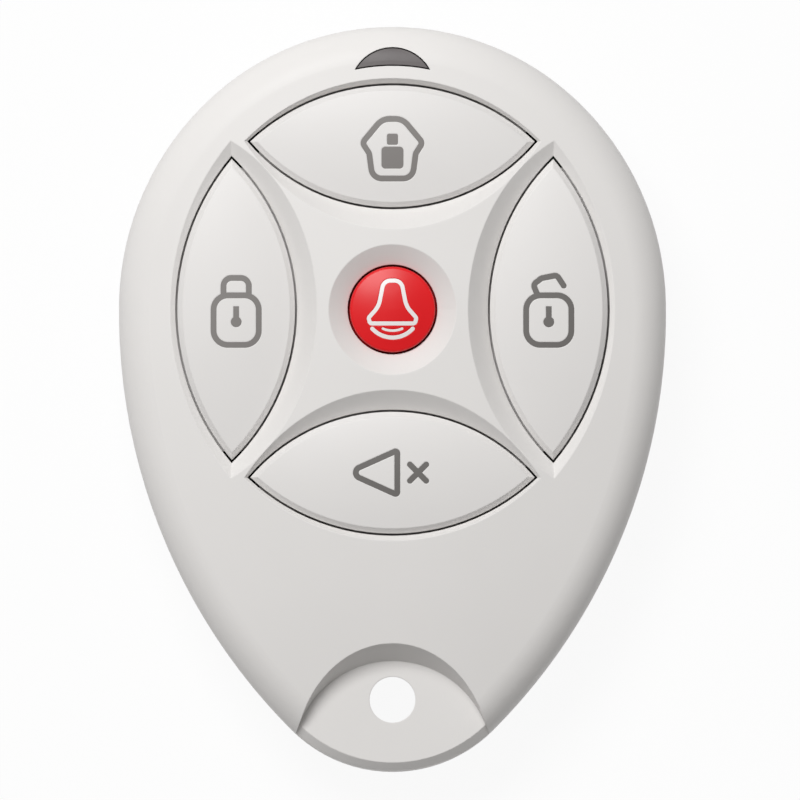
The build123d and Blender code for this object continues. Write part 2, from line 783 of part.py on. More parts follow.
def switch_base():
    """Moulded base of a key switch with the well for its snap dome."""
    base = block(0, 0, switch_side, switch_side, board_top, cover_bottom)
    return base - disc(0, 0, well_radius, well_floor, cover_bottom + cut_overrun)


def switch_cover():
    """Steel cover of a key switch, with two flaps folded down over the base."""
    cover = block(0, 0, switch_side, switch_side, cover_bottom, cover_top)
    flap_bottom = cover_top - switch_cover_flap_height
    for side in (-1, 1):
        flap_y = side * (switch_side + switch_cover_thickness) / 2
        cover += block(0, flap_y, switch_flap_width, switch_cover_thickness, flap_bottom, cover_top)
    return cover - disc(0, 0, plunger_radius + switch_bore_gap, 0, face_height)


def switch_plunger():
    """Plunger of a key switch: a collar under the cover and a stem through it."""
    return (disc(0, 0, plunger_collar_radius, collar_bottom, collar_bottom + plunger_collar_height)
            + disc(0, 0, plunger_radius, collar_bottom, plunger_top))


def switch_dome():
    """Snap dome: a thin shallow spherical cap that stands in the well."""
    sphere_radius = (dome_radius ** 2 + dome_height ** 2) / (2 * dome_height)
    ball = Sphere(sphere_radius) - Sphere(sphere_radius - dome_thickness)
    return (Pos(0, 0, well_floor + dome_height - sphere_radius) * ball
            & disc(0, 0, 2 * dome_radius, well_floor, well_floor + dome_height))


def switch_legs():
    """The four soldered legs of a key switch."""
    reach = (switch_side + switch_leg_length) / 2
    return [block(side * reach, end * switch_leg_spacing / 2, switch_leg_length, switch_leg_width,
                  board_top, board_top + switch_leg_thickness) for side in (-1, 1) for end in (-1, 1)]


def switches():
    """One switch under the middle of each key."""
    pieces = {"base": [switch_base()], "cover": [switch_cover()], "plunger": [switch_plunger()],
              "dome": [switch_dome()], "legs": switch_legs()}
    made = {}
    for name, place in key_places.items():
        for piece, solids in pieces.items():
            made[f"switch_{name}_{piece}"] = [Pos(place.X, place.Y, 0) * solid for solid in solids]
    return made


def lamp():
    """The indicator lamp: a flat base with a clear block on it."""
    base_top = board_top + lamp_base_height
    lens_top = base_top + lamp_lens_height
    base = block(0, lamp_y, lamp_length, lamp_width, board_top, base_top)
    return base + block(0, lamp_y, lamp_length - lamp_lens_height, lamp_width, base_top, lens_top)


def chip_leads(x, y, width, height, per_side):
    """Gull-wing leads along both long sides of a chip."""
    middle = board_top + height / 2
    foot = board_top + lead_thickness / 2
    reach = width / 2
    bend = reach + lead_reach_length / 2
    points = [(0, reach, middle), (0, bend, middle), (0, bend, foot), (0, reach + lead_reach_length, foot)]
    path = FilletPolyline(*points, radius=lead_bend_radius)
    section = Plane(origin=path @ 0, x_dir=(1, 0, 0), z_dir=path % 0) * Rectangle(lead_width, lead_thickness)
    lead = sweep(section, path)
    first = -(per_side - 1) * lead_pitch / 2
    return [Pos(x, y, 0) * Rot(0, 0, turn) * Pos(first + number * lead_pitch, 0, 0) * lead
            for turn in (0, 180) for number in range(per_side)]


def chip_body(x, y, length, width, height):
    """Moulded body of a chip with the dimple that marks its first lead."""
    body = block(x, y, length, width, board_top + lead_thickness / 2, board_top + height)
    body = chamfer(top_edges(body, board_top + height), lead_bend_radius)
    dimple_x = x - length / 2 + lead_pitch
    dimple_y = y - width / 2 + lead_pitch
    return body - disc(dimple_x, dimple_y, lead_width, board_top + height - lead_thickness, face_height)


def resonator():
    """Frequency part of the transmitter: a ceramic base under a metal lid."""
    base_top = board_top + resonator_base_height
    lid_width = resonator_width - 2 * resonator_lid_inset
    lid_length = resonator_length - 2 * resonator_lid_inset
    return (block(resonator_x, chip_y, resonator_width, resonator_length, board_top, base_top)
            + block(resonator_x, chip_y, lid_width, lid_length, base_top, base_top + resonator_lid_height))


def chip_parts(side, height):
    """Two rows of small parts, above and below the switch of a side key."""
    away = switch_side / 2 + switch_cover_thickness + part_gap + chip_part_length / 2
    first = -(chip_parts_per_row - 1) * chip_part_spacing / 2
    x = side * key_middle(side_key) + first
    return [block(x + number * chip_part_spacing, group_y + row * away, chip_part_width, chip_part_length,
                  board_top, board_top + height) for row in (-1, 1) for number in range(chip_parts_per_row)]


def antenna_loop():
    """Wire loop that stands on the board near its lower end."""
    high = board_top + antenna_height
    points = [(-antenna_half_length, 0, board_top), (-antenna_half_length, 0, high),
              (antenna_half_length, 0, high), (antenna_half_length, 0, board_top)]
    path = FilletPolyline(*points, radius=antenna_bend_radius)
    section = Plane(origin=path @ 0, z_dir=path % 0) * Circle(antenna_wire_radius)
    return Pos(0, antenna_y, 0) * sweep(section, path)


def all_nodes():
    """Every node of the fob by name, each a solid or a list of solids."""
    lump = front_body()
    made = {"front_shell": front_shell(lump), "rear_shell": rear_shell(), "lamp_window": lamp_window(lump)}
    made.update(keys())
    made.update(switches())
    made["housing_screws"] = housing_screws()
    made["circuit_board"] = circuit_board()
    made["battery_cell"] = battery_cell()
    made["battery_clip"] = battery_clip()
    made["battery_contact"] = battery_contact()
    made["lamp"] = lamp()
    made["controller_chip"] = chip_body(controller_x, chip_y, controller_length, controller_width,
                                        controller_height)
    made["controller_leads"] = chip_leads(controller_x, chip_y, controller_width, controller_height,
                                          controller_leads_per_side)
    made["radio_chip"] = chip_body(radio_x, chip_y, radio_length, radio_width, radio_height)
    made["radio_leads"] = chip_leads(radio_x, chip_y, radio_width, radio_height, radio_leads_per_side)
    made["resonator"] = resonator()
    made["chip_capacitors"] = chip_parts(-1, capacitor_height)
    made["chip_resistors"] = chip_parts(1, resistor_height)
    made["antenna_loop"] = antenna_loop()
    return made


os.makedirs("parts", exist_ok=True)
for node, shape in all_nodes().items():
    solids = [solid for piece in (shape if isinstance(shape, list) else [shape]) for solid in piece.solids()]
    export_step(Compound(children=solids) if len(solids) > 1 else solids[0], f"parts/{node}.step")
    print(node, len(solids), "solids,", round(sum(solid.volume for solid in solids), 2), "mm3")
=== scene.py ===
# %% [markdown]
# # An alarm key fob
# This notebook dresses a keyring remote: an egg-shaped two-part case, four lens-shaped keys round a
# recessed red panic key, a smoked lamp window, and the working parts inside. The construction comes
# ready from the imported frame, where every piece has its real size and place. Blender's part is the
# looks: finer screws, cell, snap domes and solder, the finish of each surface, the light and the camera.

# %% Load the frame
import json
import math

import bmesh
import bpy
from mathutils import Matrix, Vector

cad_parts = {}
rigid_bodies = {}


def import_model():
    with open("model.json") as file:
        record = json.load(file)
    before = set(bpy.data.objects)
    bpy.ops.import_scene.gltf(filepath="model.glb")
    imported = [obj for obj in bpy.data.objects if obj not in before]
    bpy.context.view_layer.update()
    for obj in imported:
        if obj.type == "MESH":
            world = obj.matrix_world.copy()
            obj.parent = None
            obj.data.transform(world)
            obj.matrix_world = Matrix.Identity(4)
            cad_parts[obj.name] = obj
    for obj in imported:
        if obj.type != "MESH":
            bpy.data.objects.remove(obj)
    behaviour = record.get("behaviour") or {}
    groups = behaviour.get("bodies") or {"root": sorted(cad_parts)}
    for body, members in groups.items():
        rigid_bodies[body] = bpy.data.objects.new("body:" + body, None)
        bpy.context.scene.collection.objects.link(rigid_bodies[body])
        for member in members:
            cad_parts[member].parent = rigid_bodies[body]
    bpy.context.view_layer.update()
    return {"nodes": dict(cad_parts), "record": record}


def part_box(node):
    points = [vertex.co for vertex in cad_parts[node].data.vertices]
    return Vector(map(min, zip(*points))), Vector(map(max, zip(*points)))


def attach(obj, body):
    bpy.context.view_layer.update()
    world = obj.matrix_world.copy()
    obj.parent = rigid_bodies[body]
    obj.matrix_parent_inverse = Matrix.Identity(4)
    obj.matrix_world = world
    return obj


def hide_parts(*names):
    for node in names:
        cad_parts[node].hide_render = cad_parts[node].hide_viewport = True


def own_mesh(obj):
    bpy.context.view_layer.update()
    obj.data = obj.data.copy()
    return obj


for leftover in list(bpy.data.objects):
    bpy.data.objects.remove(leftover)
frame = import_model()
nodes = frame["nodes"]

# %% [markdown]
# ## Sizes
# Blender works in metres, so a millimetre is a named unit here. The case's own sizes are read from
# the frame's boxes, so that a new frame moves everything that hangs on them.

# %% Units and the case's sizes
mm = 0.001
front_low, front_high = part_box("front_shell")
rear_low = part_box("rear_shell")[0]
case_length = front_high.y - front_low.y
case_width = front_high.x - front_low.x
case_height = front_high.z - rear_low.z
print("case", round(case_width / mm, 2), round(case_length / mm, 2), round(case_height / mm, 2), "mm")

# %% [markdown]
# ## Helpers for materials
# Every finish is a Principled shader whose colour, roughness and normal come from a few noise
# patterns on Object coordinates. Those coordinates are in metres, so a pattern's scale is one over
# its real size. Helpers keep each material down to the lines that matter.

# %% Node helpers
def new_node(tree, kind, values=None, **settings):
    """A node of one kind in a tree, with its inputs and settings filled in."""
    node = tree.nodes.new(kind)
    for name, value in settings.items():
        setattr(node, name, value)
    for socket, value in (values or {}).items():
        if isinstance(value, bpy.types.NodeSocket):
            tree.links.new(value, node.inputs[socket])
        else:
            node.inputs[socket].default_value = value
    return node


def maths(tree, operation, first, second=0.0, clamp=False):
    """The output of one Math node."""
    node = new_node(tree, "ShaderNodeMath", {0: first, 1: second}, operation=operation, use_clamp=clamp)
    return node.outputs[0]


def object_place(tree):
    """Object coordinates, in metres."""
    return new_node(tree, "ShaderNodeTexCoord").outputs["Object"]


def noise(tree, size, detail=2.0, roughness=0.5, place=None):
    """A noise pattern whose lumps are about so many metres across."""
    values = {"Vector": place or object_place(tree), "Scale": 1 / size, "Detail": detail,
              "Roughness": roughness}
    return new_node(tree, "ShaderNodeTexNoise", values).outputs["Fac"]


def between(tree, factor, low, high):
    """A value that runs from low to high as a pattern runs from zero to one."""
    values = {"Value": factor, "To Min": low, "To Max": high}
    return new_node(tree, "ShaderNodeMapRange", values).outputs["Result"]


def blend_colours(tree, factor, first, second):
    """One colour turning into another as a pattern runs from zero to one."""
    node = new_node(tree, "ShaderNodeMix", data_type="RGBA")
    for socket, value in zip((node.inputs[0], node.inputs[6], node.inputs[7]), (factor, first, second)):
        if isinstance(value, bpy.types.NodeSocket):
            tree.links.new(value, socket)
        else:
            socket.default_value = value
    return node.outputs[2]


def new_material(name, **constants):
    """A material with a Principled shader whose plain sockets are set."""
    material = bpy.data.materials.new(name)
    material.use_nodes = True
    shader = material.node_tree.nodes["Principled BSDF"]
    for socket, value in constants.items():
        shader.inputs[socket.replace("_", " ")].default_value = value
    return material, material.node_tree, shader


def feed(tree, shader, **patterns):
    """Link patterns to the shader's sockets."""
    for socket, pattern in patterns.items():
        tree.links.new(pattern, shader.inputs[socket.replace("_", " ")])


# %% [markdown]
# ## Shared effects
# Two effects come back in many finishes, so each is a node group with named sockets. Moulded plastic
# carries the spark-eroded skin of its tool: a fine grain that breaks up the gloss, over slow changes
# of tone. Edges that hands rub are a little smoother and paler than the rest; the Bevel node finds
# them, because its rounded normal leaves the true one only near an edge.

# %% The skin group
coarse_times, fine_part, coarse_part = 3.2, 0.7, 0.3
streak_times, cloud_part, streak_part = 0.17, 0.6, 0.4


def socket(group, name, in_out, kind="NodeSocketFloat", value=None):
    """A named socket on a node group."""
    made = group.interface.new_socket(name=name, in_out=in_out, socket_type=kind)
    if value is not None:
        made.default_value = value
    return made


def make_skin_group():
    """Grain height, slow tone and roughness of a moulded or cast skin."""
    group = bpy.data.node_groups.new("moulded_skin", "ShaderNodeTree")
    socket(group, "Grain Size", "INPUT", value=0.1 * mm)
    socket(group, "Cloud Size", "INPUT", value=9 * mm)
    for name in ("Height", "Tone", "Gloss"):
        socket(group, name, "OUTPUT")
    ins = new_node(group, "NodeGroupInput")
    outs = new_node(group, "NodeGroupOutput")
    place = object_place(group)

    def sized_noise(size, detail, roughness):
        scale = maths(group, "DIVIDE", 1.0, size)
        values = {"Vector": place, "Scale": scale, "Detail": detail, "Roughness": roughness}
        return new_node(group, "ShaderNodeTexNoise", values).outputs["Fac"]

    fine = sized_noise(ins.outputs["Grain Size"], 3.0, 0.6)
    coarse = sized_noise(maths(group, "MULTIPLY", ins.outputs["Grain Size"], coarse_times), 1.0, 0.5)
    height = maths(group, "ADD", maths(group, "MULTIPLY", fine, fine_part),
                   maths(group, "MULTIPLY", coarse, coarse_part))
    cloud = sized_noise(ins.outputs["Cloud Size"], 3.0, 0.55)
    streak = sized_noise(maths(group, "MULTIPLY", ins.outputs["Cloud Size"], streak_times), 4.0, 0.6)
    gloss = maths(group, "ADD", maths(group, "MULTIPLY", cloud, cloud_part),
                  maths(group, "MULTIPLY", streak, streak_part))
    for name, value in (("Height", height), ("Tone", cloud), ("Gloss", gloss)):
        group.links.new(value, outs.inputs[name])
    return group


skin_group = make_skin_group()
print(skin_group.name, "has", len(skin_group.nodes), "nodes")

# %% The edge group
def make_edge_group():
    """A rounded normal near edges, and a mask that is one on them."""
    group = bpy.data.node_groups.new("rubbed_edges", "ShaderNodeTree")
    socket(group, "Radius", "INPUT", value=0.1 * mm)
    socket(group, "Edge", "OUTPUT")
    socket(group, "Normal", "OUTPUT", "NodeSocketVector")
    ins = new_node(group, "NodeGroupInput")
    outs = new_node(group, "NodeGroupOutput")
    rounded = new_node(group, "ShaderNodeBevel", {"Radius": ins.outputs["Radius"]}, samples=6).outputs[0]
    true_normal = new_node(group, "ShaderNodeNewGeometry").outputs["Normal"]
    same = new_node(group, "ShaderNodeVectorMath", {0: rounded, 1: true_normal}, operation="DOT_PRODUCT")
    leaning = maths(group, "SUBTRACT", 1.0, same.outputs["Value"])
    edge = new_node(group, "ShaderNodeMapRange", {"Value": leaning, "From Min": 0.01, "From Max": 0.12})
    group.links.new(edge.outputs["Result"], outs.inputs["Edge"])
    group.links.new(rounded, outs.inputs["Normal"])
    return group


edge_group = make_edge_group()
print(edge_group.name, "has", len(edge_group.nodes), "nodes")

# %% [markdown]
# ## Plastics
# The case, the keys, the red key, the marks and the dark mouldings differ only in colour, gloss and
# grain, so one function makes them all. The pale warm grey of the case is written as the colour that
# the photograph shows in full light. The grain is a tenth of a millimetre on the case and finer on
# the keys, whose faces are a little smoother.

# %% The plastic finish
paler_times, paler_lift, rubbed_share = 1.04, 0.004, 0.5
gloss_down, gloss_up, rubbed_polish = 0.06, 0.08, 0.12


def plastic(name, colour, shade, rough, grain, depth, edge_radius=0.12 * mm, **constants):
    """A moulded plastic: colour turning to a shade in slow clouds, a grained skin and rubbed edges."""
    material, tree, shader = new_material(name, **constants)
    skin = new_node(tree, "ShaderNodeGroup", node_tree=skin_group)
    skin.inputs["Grain Size"].default_value = grain
    edge = new_node(tree, "ShaderNodeGroup", node_tree=edge_group)
    edge.inputs["Radius"].default_value = edge_radius
    cloudy = blend_colours(tree, between(tree, skin.outputs["Tone"], 0.0, 1.0), shade, colour)
    paler = tuple(min(1.0, part * paler_times + paler_lift) for part in colour[:3]) + (1.0,)
    rubbed = maths(tree, "MULTIPLY", edge.outputs["Edge"], rubbed_share)
    rough_skin = between(tree, skin.outputs["Gloss"], rough - gloss_down, rough + gloss_up)
    rough_here = maths(tree, "SUBTRACT", rough_skin, maths(tree, "MULTIPLY", rubbed, rubbed_polish))
    bump = new_node(tree, "ShaderNodeBump", {"Height": skin.outputs["Height"], "Distance": depth,
                                             "Strength": 1.0, "Normal": edge.outputs["Normal"]})
    feed(tree, shader, Base_Color=blend_colours(tree, rubbed, cloudy, paler), Roughness=rough_here,
         Normal=bump.outputs["Normal"])
    return material


materials = {
    "case_plastic": plastic("case_plastic", (0.83, 0.812, 0.795, 1), (0.80, 0.782, 0.765, 1), 0.46,
                            0.11 * mm, 0.004 * mm, Specular_IOR_Level=0.3),
    "key_plastic": plastic("key_plastic", (0.815, 0.797, 0.782, 1), (0.79, 0.772, 0.757, 1), 0.38,
                           0.08 * mm, 0.002 * mm, Specular_IOR_Level=0.4),
    "panic_plastic": plastic("panic_plastic", (0.82, 0.014, 0.018, 1), (0.74, 0.008, 0.012, 1), 0.34,
                             0.3 * mm, 0.002 * mm, Specular_IOR_Level=0.3, Coat_Weight=0.08,
                             Coat_Roughness=0.25),
    "grey_mark": plastic("grey_mark", (0.235, 0.22, 0.21, 1), (0.21, 0.197, 0.188, 1), 0.45,
                         0.08 * mm, 0.002 * mm, 0.04 * mm),
    "white_mark": plastic("white_mark", (0.92, 0.88, 0.87, 1), (0.88, 0.84, 0.83, 1), 0.35,
                          0.08 * mm, 0.002 * mm, 0.04 * mm),
    "black_resin": plastic("black_resin", (0.03, 0.03, 0.032, 1), (0.02, 0.02, 0.021, 1), 0.5,
                           0.06 * mm, 0.004 * mm, 0.05 * mm),
    "plunger_plastic": plastic("plunger_plastic", (0.07, 0.07, 0.072, 1), (0.05, 0.05, 0.05, 1), 0.4,
                               0.1 * mm, 0.002 * mm, 0.05 * mm),
    "part_ceramic": plastic("part_ceramic", (0.42, 0.27, 0.15, 1), (0.30, 0.19, 0.10, 1), 0.6,
                            0.05 * mm, 0.003 * mm, 0.03 * mm),
}
print(len(materials), "plastics and resins")

# %% [markdown]
# The marks on the right and the lower key are painted a darker grey than the other two. This is
# painted shade, for the side away from the lamp at the top left. All four share one finish, so the
# shader reads where on the fob it is: the difference of the two plan coordinates is small up and to
# the left and large down and to the right, and it picks the painted shade.

# %% Painted shade on the lower right marks
unshaded_up_to, full_shade_from = -9 * mm, -5 * mm


def paint_shade_low_right(material, dark):
    """Paint shade into the finish's colour: a darker one down and to the right of the fob's middle."""
    tree = material.node_tree
    colour_in = tree.nodes["Principled BSDF"].inputs["Base Color"]
    plain = colour_in.links[0].from_socket
    axes = new_node(tree, "ShaderNodeSeparateXYZ", {0: object_place(tree)})
    across = maths(tree, "SUBTRACT", axes.outputs["X"], axes.outputs["Y"])
    values = {"Value": across, "From Min": unshaded_up_to, "From Max": full_shade_from}
    share = new_node(tree, "ShaderNodeMapRange", values).outputs["Result"]
    tree.links.new(blend_colours(tree, share, plain, dark), colour_in)


# painted shade: the marks down and to the right of the middle are painted this darker grey
paint_shade_low_right(materials["grey_mark"], (0.15, 0.141, 0.133, 1))
print("the lower right marks are darker")

# %% [markdown]
# ## Clear and smoked plastics
# The lamp window is a smoked light guide with a satin face, dark grey from outside. The lamp itself
# is clear resin, which lets light into it.

# %% The smoked window and the clear lamp
def smoked_window():
    """Satin smoked plastic."""
    material, tree, shader = new_material("smoked_window", Coat_Weight=0.06, Coat_Roughness=0.3, IOR=1.49)
    skin = new_node(tree, "ShaderNodeGroup", node_tree=skin_group)
    skin.inputs["Cloud Size"].default_value = 2.5 * mm
    colour = blend_colours(tree, skin.outputs["Tone"], (0.105, 0.092, 0.092, 1), (0.12, 0.106, 0.106, 1))
    edge = new_node(tree, "ShaderNodeGroup", node_tree=edge_group)
    edge.inputs["Radius"].default_value = 0.08 * mm
    feed(tree, shader, Base_Color=colour, Roughness=between(tree, skin.outputs["Gloss"], 0.42, 0.55),
         Normal=edge.outputs["Normal"])
    return material


def clear_resin():
    """Cast resin that passes most of the light."""
    material, tree, shader = new_material("clear_resin", Transmission_Weight=0.6, IOR=1.5)
    skin = new_node(tree, "ShaderNodeGroup", node_tree=skin_group)
    colour = blend_colours(tree, skin.outputs["Tone"], (0.86, 0.82, 0.62, 1), (0.92, 0.90, 0.78, 1))
    feed(tree, shader, Base_Color=colour, Roughness=between(tree, skin.outputs["Gloss"], 0.08, 0.2))
    return material


materials["smoked_window"] = smoked_window()
materials["clear_resin"] = clear_resin()
print("smoked and clear plastics made")

# %% [markdown]
# ## Metals
# The cell, the springs, the screws and the leads are plated or bare metal. Rolling and turning leave
# fine lines, so a noise is stretched along one direction by a Mapping node and drives both the
# roughness and a very shallow bump.

# %% The metal finish
patch_size, patch_low, patch_high, patch_rough = 1.7 * mm, -0.6, 1.6, 0.08
line_down, line_up, line_depth = 0.08, 0.12, 0.001 * mm


def metal(name, colour, dull, rough, line_size, stretch, tarnish=0.25, edge_radius=0.06 * mm):
    """A brushed or rolled metal: drawn-out lines, slow tarnish and bright edges."""
    material, tree, shader = new_material(name, Metallic=1.0)
    mapped = new_node(tree, "ShaderNodeMapping", {"Vector": object_place(tree), "Scale": stretch})
    lines = noise(tree, line_size, 4.0, 0.65, mapped.outputs["Vector"])
    patches = noise(tree, patch_size, 4.0, 0.6)
    edge = new_node(tree, "ShaderNodeGroup", node_tree=edge_group)
    edge.inputs["Radius"].default_value = edge_radius
    worn = maths(tree, "MULTIPLY", between(tree, patches, patch_low, patch_high), tarnish, clamp=True)
    base = blend_colours(tree, worn, colour, dull)
    rough_lines = between(tree, lines, rough - line_down, rough + line_up)
    rough_here = maths(tree, "ADD", rough_lines, maths(tree, "MULTIPLY", patches, patch_rough))
    bump = new_node(tree, "ShaderNodeBump", {"Height": lines, "Distance": line_depth, "Strength": 0.6,
                                             "Normal": edge.outputs["Normal"]})
    feed(tree, shader, Base_Color=base, Roughness=rough_here, Normal=bump.outputs["Normal"])
    return material


materials["screw_steel"] = metal("screw_steel", (0.60, 0.60, 0.59, 1), (0.40, 0.39, 0.37, 1), 0.28,
                                 0.15 * mm, (1, 1, 0.15))
materials["cell_steel"] = metal("cell_steel", (0.72, 0.71, 0.69, 1), (0.55, 0.54, 0.52, 1), 0.24,
                                0.12 * mm, (0.12, 1, 1))
materials["spring_metal"] = metal("spring_metal", (0.70, 0.68, 0.62, 1), (0.50, 0.47, 0.40, 1), 0.3,
                                  0.1 * mm, (0.15, 1, 1))
materials["tinned_metal"] = metal("tinned_metal", (0.78, 0.77, 0.74, 1), (0.58, 0.57, 0.55, 1), 0.34,
                                  0.2 * mm, (1, 1, 1))
materials["copper_wire"] = metal("copper_wire", (0.72, 0.36, 0.19, 1), (0.42, 0.18, 0.09, 1), 0.3,
                                 0.08 * mm, (0.1, 1, 1), 0.45)
print(len(materials), "finishes so far")

# %% [markdown]
# ## The board
# A board is green lacquer over copper. The lacquer is paler where a track runs under it. The plan is
# cut into small squares, and each square gets a straight stretch of track one way or the other, drawn
# by chance, which from a little way off reads as a maze of tracks. The weave of the glass cloth shows
# through as a fine unevenness, and on the cut edges the bare straw-coloured laminate shows.

# %% The board finish
def board_laminate():
    """Green lacquer over tracks and glass cloth."""
    material, tree, shader = new_material("board_laminate", Coat_Weight=0.35, Coat_Roughness=0.2)
    square, half_track, across_below, along_above = 1.27 * mm, 0.16, 0.45, 0.55
    scaled = new_node(tree, "ShaderNodeVectorMath", {0: object_place(tree), 3: 1 / square},
                      operation="SCALE")
    whole = new_node(tree, "ShaderNodeVectorMath", {0: scaled.outputs[0]}, operation="FLOOR")
    part = new_node(tree, "ShaderNodeVectorMath", {0: scaled.outputs[0]}, operation="FRACTION")
    axes = new_node(tree, "ShaderNodeSeparateXYZ", {0: part.outputs[0]})
    chance = new_node(tree, "ShaderNodeTexWhiteNoise", {"Vector": whole.outputs[0]}).outputs["Value"]

    def near_middle(axis):
        off = maths(tree, "ABSOLUTE", maths(tree, "SUBTRACT", axis, 0.5))
        return maths(tree, "LESS_THAN", off, half_track)

    across = maths(tree, "MULTIPLY", near_middle(axes.outputs["X"]),
                   maths(tree, "LESS_THAN", chance, across_below))
    along = maths(tree, "MULTIPLY", near_middle(axes.outputs["Y"]),
                  maths(tree, "GREATER_THAN", chance, along_above))
    track = maths(tree, "MAXIMUM", across, along)
    normal = new_node(tree, "ShaderNodeNewGeometry").outputs["Normal"]
    upright = new_node(tree, "ShaderNodeSeparateXYZ", {0: normal}).outputs["Z"]
    on_face = maths(tree, "GREATER_THAN", maths(tree, "ABSOLUTE", upright), 0.5)
    track = maths(tree, "MULTIPLY", track, on_face)
    weave = noise(tree, 0.25 * mm, 2.0)
    lacquer = blend_colours(tree, weave, (0.012, 0.12, 0.045, 1), (0.02, 0.16, 0.06, 1))
    faces = blend_colours(tree, track, lacquer, (0.05, 0.27, 0.09, 1))
    cloth = blend_colours(tree, weave, (0.30, 0.29, 0.14, 1), (0.42, 0.40, 0.22, 1))
    colour = blend_colours(tree, on_face, cloth, faces)
    height = maths(tree, "ADD", track, maths(tree, "MULTIPLY", weave, 0.3))
    bump = new_node(tree, "ShaderNodeBump", {"Height": height, "Distance": 0.03 * mm, "Strength": 0.7})
    feed(tree, shader, Base_Color=colour, Roughness=between(tree, weave, 0.3, 0.45),
         Normal=bump.outputs["Normal"])
    return material


materials["board_laminate"] = board_laminate()
print(len(materials), "finishes in all")

# %% [markdown]
# ## Pieces that Blender makes finer
# Three kinds of piece get a finer copy, which takes the frame piece's place: the screws get a real
# thread and rounded heads, the coin cell its crimped rim, and the snap domes get a rim and a dimple.
# All are turned shapes, so one helper spins a closed profile, a list of radius and height, into a
# solid. Solder mounds, the cell's sealing ring and the tinned ends of the small parts are new, and
# ride the case.

# %% Helpers for turned pieces
weld, sharp_angle, corner_steps = 0.0005 * mm, math.radians(40), 6


def finish_mesh(shape, name):
    """A mesh object from a bmesh, with merged doubles, outward normals and smooth sides."""
    bmesh.ops.remove_doubles(shape, verts=shape.verts, dist=weld)
    bmesh.ops.recalc_face_normals(shape, faces=shape.faces)
    for face in shape.faces:
        face.smooth = True
    for edge in shape.edges:
        if len(edge.link_faces) == 2 and edge.calc_face_angle() > sharp_angle:
            edge.smooth = False
    mesh = bpy.data.meshes.new(name)
    shape.to_mesh(mesh)
    shape.free()
    piece = bpy.data.objects.new(name, mesh)
    bpy.context.scene.collection.objects.link(piece)
    return piece


def turned(shape, profile, steps, middle=(0, 0)):
    """Spin a profile of (radius, height) points, in metres, about an upright line."""
    before = set(shape.verts)
    verts = [shape.verts.new((radius, 0, height)) for radius, height in profile]
    edges = [shape.edges.new(pair) for pair in zip(verts, verts[1:])]
    bmesh.ops.spin(shape, geom=verts + edges, cent=(0, 0, 0), axis=(0, 0, 1), angle=math.tau,
                   steps=steps, use_merge=True)
    fresh = [vert for vert in shape.verts if vert not in before]
    bmesh.ops.translate(shape, verts=fresh, vec=(middle[0], middle[1], 0))


def rounded_corner(outside, low, corner):
    """Profile points round a turned piece's lower outside corner."""
    return [(outside - corner + corner * math.sin(turn), low + corner - corner * math.cos(turn))
            for turn in (step * math.pi / (2 * corner_steps) for step in range(corner_steps + 1))]


def finish_and_ride(piece, slot, body):
    """Give a new piece its finish, and let it ride a body."""
    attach(piece, body)
    piece.data.materials.append(materials[slot])


def replace_node(piece, node):
    """Let a new piece stand for a frame piece: same body, same finish."""
    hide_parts(node)
    finish_and_ride(piece, slot_of[node], body_of[node])


slot_of = {row["node"]: row["material_slot"] for row in frame["record"]["subparts"]}
body_of = {node: body for body, members in frame["record"]["behaviour"]["bodies"].items() for node in members}
keys = ("home", "lock", "unlock", "mute", "panic")

# %% Snap domes
dome_sheet, dimple_depth, crown_lift, dome_steps = 0.07 * mm, 0.05 * mm, 0.04 * mm, 12
cap_share, dimple_share, rim_share, under_share = 0.93, 0.22, 0.8, 0.985


def snap_dome(key):
    """A thin sprung cap with a rim and a middle dimple, over its well."""
    low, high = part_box(f"switch_{key}_dome")
    middle = ((low.x + high.x) / 2, (low.y + high.y) / 2)
    radius, height = (high.x - low.x) / 2, high.z - low.z
    top = []
    for step in range(dome_steps + 1):
        share = step / dome_steps
        dimple = dimple_depth * math.exp(-(share / dimple_share) ** 2)
        rise = (1 - share ** 2) * (height - dome_sheet) - dimple
        top.append((radius * cap_share * share, low.z + dome_sheet + rise + crown_lift * (1 - share)))
    rim = [(radius, low.z + rim_share * dome_sheet), (radius, low.z)]
    under = [(x * under_share, z - dome_sheet) for x, z in reversed(top)]
    shape = bmesh.new()
    turned(shape, top + rim + under, steps=48, middle=middle)
    piece = finish_mesh(shape, f"snap_dome_{key}")
    replace_node(piece, f"switch_{key}_dome")
    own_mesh(piece)
    return piece


domes = [snap_dome(key) for key in keys]
print(len(domes), "snap domes,", len(domes[0].data.polygons), "faces each")

# %% [markdown]
# ## Threaded screws
# A self-tapping screw has a thin sharp ridge round a slimmer core. The shank is turned as a plain rod
# with many rings, and then each point is drawn in towards the core by its height and angle together,
# so the ridge that is left climbs by itself: one turn lifts it by one pitch. Towards the tip the core
# and the ridge both shrink. The cross in the head is cut by two tapered wedges.

# %% Screws
screw_low, screw_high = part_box("housing_screws")
head_radius, shank_radius, core_radius = 1.5 * mm, 0.79 * mm, 0.6 * mm
head_height, thread_pitch, tip_length, start_length = 1.0 * mm, 0.62 * mm, 0.9 * mm, 0.5 * mm
ridge_share, tip_share, sunk = 0.2, 0.18, 0.05 * mm
cross_length, cross_width, cross_depth, cross_taper = 1.75 * mm, 0.42 * mm, 0.75 * mm, 0.62
head_corner, overrun = 0.22 * mm, 0.1 * mm
screw_x = screw_high.x - head_radius
screw_places = [(screw_x, screw_high.y - head_radius), (-screw_x, screw_high.y - head_radius),
                (0, screw_low.y + head_radius)]


